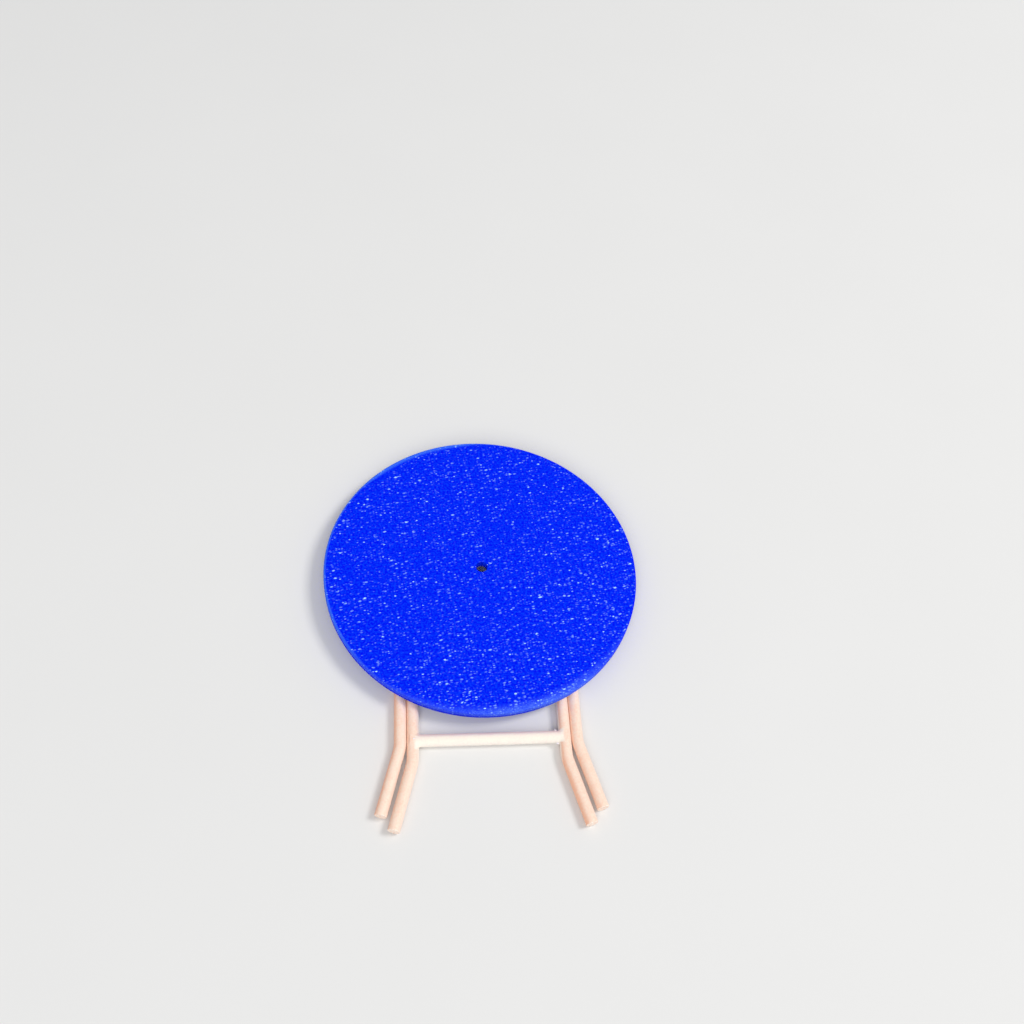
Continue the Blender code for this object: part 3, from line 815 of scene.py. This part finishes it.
def fused_surface(distance, low, high, step):
    """A smooth closed mesh round the points where distance is negative.

    Each grid cell that the surface crosses gets one point, which then slides onto the surface,
    and each grid edge that the surface crosses gets the face between its four cells.
    """
    counts = np.ceil((high - low) / step).astype(int) + 1
    axes = [low[i] + step * np.arange(counts[i]) for i in range(3)]
    grid = np.stack(np.meshgrid(*axes, indexing="ij"), axis=-1)
    solid = distance(grid) < 0
    corners = [(i, j, k) for i in (0, 1) for j in (0, 1) for k in (0, 1)]
    filled = sum(solid[i:counts[0] - 1 + i, j:counts[1] - 1 + j, k:counts[2] - 1 + k].astype(int)
                 for i, j, k in corners)
    crossed = (filled > 0) & (filled < len(corners))
    cells = np.argwhere(crossed)
    index = -np.ones(crossed.shape, int)
    index[crossed] = np.arange(len(cells))
    points = slide_onto(distance, low + step * (cells + 0.5), step)
    faces = []
    for axis in range(3):
        u, v = (axis + 1) % 3, (axis + 2) % 3
        inside = np.moveaxis(solid, axis, 0)
        starts = np.moveaxis(inside[:-1], 0, axis)
        ends = np.moveaxis(inside[1:], 0, axis)
        for spot in np.argwhere(starts != ends):
            if min(spot[u], spot[v]) == 0:
                continue
            around = []
            for du, dv in ((1, 1), (0, 1), (0, 0), (1, 0)):
                cell = spot.copy()
                cell[u] -= du
                cell[v] -= dv
                around.append(int(index[tuple(cell)]))
            faces.append(around if starts[tuple(spot)] else around[::-1])
    return points, faces


def slide_onto(distance, points, step):
    """Move points down the slope of a distance, at most a step at a time, to where it is zero."""
    small = step * 0.05
    for _ in range(SURFACE_SLIDES):
        value = distance(points)
        slope = np.stack([(distance(points + small * unit) - distance(points - small * unit)) / (2 * small)
                          for unit in np.eye(3)], axis=-1)
        steepness = np.maximum((slope ** 2).sum(-1, keepdims=True), 1e-6)
        points = points - np.clip(value[:, None] * slope / steepness, -step, step)
    return points


def add_fused(name, distance, centre, reach, step, material):
    """A bit of leg plastic by the lower crossbar, with a fused surface within reach of a centre."""
    points, faces = fused_surface(distance, centre - reach, centre + reach, step)
    mesh = bpy.data.meshes.new(name)
    mesh.from_pydata(points.tolist(), [], faces)
    mesh.validate()
    mesh.materials.append(material)
    mesh.shade_smooth()
    thing = add_object(name, mesh)
    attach(thing, "inner_frame")
    return thing


def make_weld(name, side, material):
    """The rounded corner where the lower crossbar runs into a leg."""
    centre = np.array((side * INNER_LEG_X, STRETCHER_Y, AXIS_HEIGHT))

    def distance(points):
        """Less than zero where leg and bar flow together, a hair inside both and not above the leg."""
        x, y, z = np.moveaxis(points - centre, -1, 0)
        leg = np.hypot(x, z) - (ROD_RADIUS - WELD_SINK)
        bar = np.hypot(y, z) - (STRETCHER_RADIUS - WELD_SINK)
        bar = np.maximum(bar, side * x - WELD_OVERLAP)
        near = np.clip(0.5 + 0.5 * (bar - leg) / WELD_SPREAD, 0, 1)
        both = bar * (1 - near) + leg * near - WELD_SPREAD * near * (1 - near)
        far = np.linalg.norm(points - centre, axis=-1) - WELD_LENGTH
        level = np.abs(z) - (ROD_RADIUS - WELD_SINK)
        return np.maximum(np.maximum(both, far), level)

    return add_fused(name, distance, centre, np.array(WELD_BOX), WELD_STEP, material)


def make_nub(name, spot, material):
    """A tiny lump of plastic left in the corner of a joint, uneven and a little flattened."""
    spot = np.array(spot)

    def distance(points):
        x, y, z = np.moveaxis((points - spot) / NUB_RADIUS, -1, 0)
        dents = 0.16 * np.sin(2.6 * x + 1.0) * np.sin(3.1 * y + 0.4) * np.cos(2.2 * z)
        return (np.sqrt((0.85 * x) ** 2 + (1.15 * y) ** 2 + z ** 2) - 1.0 + dents) * NUB_RADIUS

    return add_fused(name, distance, spot, np.full(3, 1.6 * NUB_RADIUS), 0.2 * NUB_RADIUS, material)


# Crossbars, rod, pins and caps

def make_turned(name, node, body, profile, material):
    """A piece spun about a line along X, in the place of a node; profile gives (distance, x)."""
    spot = middle(node)
    bm = bmesh.new()
    spin_across(bm, profile, spot.y, spot.z, TURNED_SIDES)
    thing = add_piece(name, bm, [material])
    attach(thing, body)
    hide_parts(node)
    return thing


def node_radius(node):
    """The radius of a node that is round about a line along X."""
    low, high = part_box(node)
    return (high.z - low.z) / 2


def node_ends(node, side):
    """The inner and the outer end of a node on one side, as distances from the middle plane."""
    low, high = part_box(node)
    return sorted((low.x * side, high.x * side))


def rounded_end(radius, x):
    """The end of a turned piece: its corner rounded, and a pole at the middle."""
    corner = arc((radius - EDGE_BREAK, x - EDGE_BREAK), EDGE_BREAK, 0, math.pi / 2, END_STEPS)
    return corner + [(0.0, x)]


def mirrored(half):
    """A whole profile from the half on +X."""
    return [(out, -x) for out, x in reversed(half)] + half


def make_stretcher(material):
    """The lower crossbar, with the faint swell and dip that such a thin printed bar has."""
    end = INNER_LEG_X - BAR_END_INSET
    first_wave, second_wave = BAR_WAVE_LENGTHS
    profile = [(0.0, -end)]
    for step in range(BAR_STEPS + 1):
        x = end * (2 * step / BAR_STEPS - 1)
        swell = BAR_SWELL * (math.sin(x / first_wave) * math.sin(x / second_wave + 1.2) - 1)
        profile.append((STRETCHER_RADIUS + swell, x))
    profile.append((0.0, end))
    return make_turned("inner_stretcher_fine", "inner_stretcher", "inner_frame", profile, material)


def make_rail(material):
    """The upper crossbar of the inner frame, shouldered between the eyes of its legs."""
    radius = node_radius("inner_top_rail")
    _, end = node_ends("inner_top_rail", 1)
    shoulder = INNER_LEG_X - EYE_WIDTH / 2 - SEAT_CLEARANCE
    half = [(radius, shoulder - EDGE_BREAK), (radius - EDGE_BREAK, shoulder), (TENON_RADIUS, shoulder)]
    profile = mirrored(half + rounded_end(TENON_RADIUS, end))
    return make_turned("inner_top_rail_fine", "inner_top_rail", "inner_frame", profile, material)


def make_pivot_rod(material):
    """The rod through all four legs."""
    _, end = node_ends("pivot_rod", 1)
    profile = mirrored(rounded_end(node_radius("pivot_rod"), end))
    return make_turned("pivot_rod_fine", "pivot_rod", "outer_frame", profile, material)


def make_pin(word, side, material):
    """A hinge pin with a domed head outside its lug."""
    node = f"hinge_pin_{word}"
    near, crown = node_ends(node, side)
    head = node_radius(node)
    seat = crown - PIN_HEAD_THICKNESS
    profile = [(0.0, near), (PIN_RADIUS - EDGE_BREAK, near), (PIN_RADIUS, near + EDGE_BREAK)]
    profile += [(PIN_RADIUS, seat), (head - EDGE_BREAK, seat), (head, seat + EDGE_BREAK)]
    dome = crown - seat - 2 * EDGE_BREAK
    for step in range(DOME_STEPS):
        angle = math.pi / 2 * step / DOME_STEPS
        profile.append((head * math.cos(angle), crown - dome * (1 - math.sin(angle))))
    profile.append((0.0, crown))
    profile = [(out, side * x) for out, x in profile]
    return make_turned(f"{node}_fine", node, "top", profile, material)


def make_cap(word, side, material):
    """A cap pressed on the end of the pivot rod: a blind bore, a rounded edge, a shallow dish."""
    node = f"pivot_cap_{word}"
    start, crown = node_ends(node, side)
    radius = node_radius(node)
    floor = crown - CAP_CROWN
    edge = 2.5 * EDGE_BREAK
    profile = [(0.0, floor), (SEAT_BORE, floor), (SEAT_BORE, start + EDGE_BREAK)]
    profile += [(SEAT_BORE + EDGE_BREAK, start), (radius - EDGE_BREAK, start), (radius, start + EDGE_BREAK)]
    profile += arc((radius - edge, crown - edge), edge, 0, math.pi / 2, END_STEPS)
    profile += [(0.62 * radius, crown), (0.54 * radius, crown - EDGE_BREAK), (0.0, crown - EDGE_BREAK)]
    profile = [(out, side * x) for out, x in profile]
    return make_turned(f"{node}_fine", node, "outer_frame", profile, material)


def build_object():
    """Every piece of the table: what rides on the frame, and the finish of what the frame shows."""
    block, steel = blue_block(), drawn_steel()
    for name in SEATED_BLOCKS:
        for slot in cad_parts[name].material_slots:
            slot.material = block
    make_tabletop([blue_top(), blue_rim(), blue_underside(), blue_hollow()])
    peach = soft_plastic("peach_plastic")
    outer_peach = soft_plastic("peach_outer", foot=(OUTER_LEG_X + FOOT_OUTWARD, OUTER_FOOT_Y))
    inner_peach = soft_plastic("peach_inner", foot=(INNER_LEG_X + FOOT_OUTWARD, INNER_FOOT_Y),
                               joint=(INNER_LEG_X, STRETCHER_Y))
    for word, side in (("left", -1), ("right", 1)):
        outer = make_leg(f"outer_leg_{word}_fine", "outer_frame", side * OUTER_LEG_X, -side, HINGE_Y,
                         OUTER_FOOT_Y, (RUNNING_BORE, SEAT_BORE), outer_peach)
        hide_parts(f"outer_leg_{word}")
        inner = make_leg(f"inner_leg_{word}_fine", "inner_frame", side * INNER_LEG_X, side, RAIL_Y,
                         INNER_FOOT_Y, (SEAT_BORE, RUNNING_BORE), inner_peach)
        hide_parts(f"inner_leg_{word}")
        make_weld(f"stretcher_weld_{word}", side, inner_peach)
        make_pin(word, side, steel)
        make_cap(word, side, peach)
    make_stretcher(inner_peach)
    make_rail(peach)
    make_pivot_rod(steel)
    stress_and_highlight = nub_plastic()
    for word, side, offset in NUBS:
        joint = Vector((side * INNER_LEG_X, STRETCHER_Y, AXIS_HEIGHT))
        make_nub(f"joint_nub_{word}", joint + Vector(offset), stress_and_highlight)


# Camera, lights and floor

FOCAL_PIXELS = 985.3
PICTURE = 1024
SENSOR = 36.0
CAMERA_YAW = math.radians(-10.96)
CAMERA_ELEVATION = math.radians(55.71)
CAMERA_ROLL = math.radians(8.861)
CAMERA_DISTANCE = 0.189218
AIM_PIXEL = (481.82, 566.62)
CLIP_DISTANCES = (0.001, 20.0)

# Each lamp: its name, azimuth and elevation in degrees, size, share of the full light and colour
LAMP_DISTANCE = 1.50
LAMPS = (("key", 5, 50, 0.45, 0.33, (1.0, 0.985, 0.96)),
         ("near_side", -102, 44, 1.00, 0.29, (1.0, 0.995, 0.985)))
SURROUND_SHARE = 0.47
SURROUND_COLOUR = (0.97, 0.98, 1.0, 1.0)
FLOOR_REACH = 3.0


def place_camera():
    """The photograph's view: the middle of the top shows at AIM_PIXEL."""
    away = Vector((math.sin(CAMERA_YAW) * math.cos(CAMERA_ELEVATION),
                   -math.cos(CAMERA_YAW) * math.cos(CAMERA_ELEVATION), math.sin(CAMERA_ELEVATION)))
    level = (-away).cross(Vector((0, 0, 1))).normalized()
    upright = level.cross(-away)
    right = math.cos(CAMERA_ROLL) * level + math.sin(CAMERA_ROLL) * upright
    up = -math.sin(CAMERA_ROLL) * level + math.cos(CAMERA_ROLL) * upright
    scale = CAMERA_DISTANCE / FOCAL_PIXELS
    aim = Vector((0, DISC_CENTRE_Y, TOP_Z))
    spot = (aim + away * CAMERA_DISTANCE - right * (AIM_PIXEL[0] - PICTURE / 2) * scale
            + up * (AIM_PIXEL[1] - PICTURE / 2) * scale)
    data = bpy.data.cameras.new("camera")
    data.sensor_width = SENSOR
    data.lens = FOCAL_PIXELS / PICTURE * SENSOR
    data.clip_start, data.clip_end = CLIP_DISTANCES
    camera = add_object("camera", data)
    turn = Matrix((right, up, away)).transposed().to_4x4()
    camera.matrix_world = Matrix.Translation(spot) @ turn
    bpy.context.scene.camera = camera


def add_lamp(name, azimuth, elevation, size, share, colour):
    """A square lamp that gives a level surface its share of the full light; azimuth from +X to +Y."""
    data = bpy.data.lights.new(name, 'AREA')
    data.shape = 'SQUARE'
    data.size = size
    data.color = colour
    azimuth, elevation = math.radians(azimuth), math.radians(elevation)
    data.energy = math.pi ** 2 * LAMP_DISTANCE ** 2 * share / math.sin(elevation)
    direction = Vector((math.cos(azimuth) * math.cos(elevation), math.sin(azimuth) * math.cos(elevation),
                        math.sin(elevation)))
    lamp = add_object(name, data)
    lamp.location = direction * LAMP_DISTANCE
    lamp.rotation_mode = 'QUATERNION'
    lamp.rotation_quaternion = direction.to_track_quat('Z', 'Y')


def light_surround():
    """The soft light from all round; the camera and gloss see the pale background instead."""
    world = bpy.data.worlds.new("surround")
    bpy.context.scene.world = world
    world.use_nodes = True
    tree = world.node_tree
    soft = tree.nodes["Background"]
    soft.inputs["Color"].default_value = SURROUND_COLOUR
    soft.inputs["Strength"].default_value = SURROUND_SHARE
    pale = tree.nodes.new("ShaderNodeBackground")
    pale.inputs["Color"].default_value = (*BACKGROUND, 1.0)
    rays = tree.nodes.new("ShaderNodeLightPath")
    seen = rays.outputs["Is Camera Ray"]
    for kind in ("Is Glossy Ray", "Is Transmission Ray"):
        either = tree.nodes.new("ShaderNodeMath")
        either.operation = 'MAXIMUM'
        tree.links.new(seen, either.inputs[0])
        tree.links.new(rays.outputs[kind], either.inputs[1])
        seen = either.outputs[0]
    mix = tree.nodes.new("ShaderNodeMixShader")
    tree.links.new(seen, mix.inputs[0])
    tree.links.new(soft.outputs[0], mix.inputs[1])
    tree.links.new(pale.outputs[0], mix.inputs[2])
    tree.links.new(mix.outputs[0], tree.nodes["World Output"].inputs["Surface"])


def lay_floor():
    """The ground, which stays under the lowest foot however far the legs are opened."""
    bm = bmesh.new()
    bmesh.ops.create_grid(bm, x_segments=8, y_segments=8, size=FLOOR_REACH)
    floor = add_piece("floor", bm, [floor_paint()])
    corner = math.sin(FLARE) * ROD_RADIUS
    marks = ((0.0, 0.0), (0.0, 2 * AXIS_HEIGHT), (-corner, AXIS_HEIGHT))
    for body, foot_y in (("outer_frame", OUTER_FOOT_Y), ("inner_frame", INNER_FOOT_Y)):
        for along, height in marks:
            mark = add_object(f"{body}_foot_mark")
            mark.location = (0, foot_y + along, height)
            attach(mark, body)
            mark.hide_render = True
            keep = floor.constraints.new('FLOOR')
            keep.target = mark
            keep.floor_location = 'FLOOR_NEGATIVE_Z'
    return floor


build_object()
place_camera()
for lamp in LAMPS:
    add_lamp(*lamp)
light_surround()
lay_floor()
bpy.context.scene.view_settings.view_transform = "Standard"
